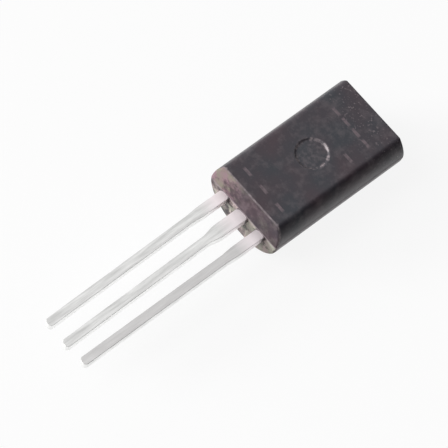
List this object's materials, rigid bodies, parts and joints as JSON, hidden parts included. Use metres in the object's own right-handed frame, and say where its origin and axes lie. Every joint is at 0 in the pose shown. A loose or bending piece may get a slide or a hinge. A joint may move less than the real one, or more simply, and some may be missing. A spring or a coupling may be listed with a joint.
{
  "type": "to-92 transistor",
  "caption": "Long-body through-hole transistor: a black moulded D-section body with a round ejector mark in its flat face, on straight tinned leads in one row.",
  "frame": {"origin": "centre of the bounding box in plan, on the surface that the round back lies on", "axes": "+Z is the flat face's outward normal, +Y runs from the lead tips to the body's closed end, +X is to the right as the flat face is read with the leads down"},
  "size_m": [0.0046, 0.019, 0.0036],
  "materials": {
    "epoxy_moulding": "fine eroded mould texture on filled black epoxy, slightly worn grey",
    "tinned_lead": "satin tin plating on a stamped copper alloy strip",
    "solder": "soft solder",
    "silicon": "polished silicon",
    "gold_wire": "drawn gold wire"
  },
  "bodies": {
    "root": {"moulded_body": "epoxy_moulding", "emitter_lead": "tinned_lead", "collector_lead": "tinned_lead", "base_lead": "tinned_lead", "die_solder": "solder", "transistor_die": "silicon", "emitter_wire": "gold_wire", "base_wire": "gold_wire"}
  },
  "joints": []
}
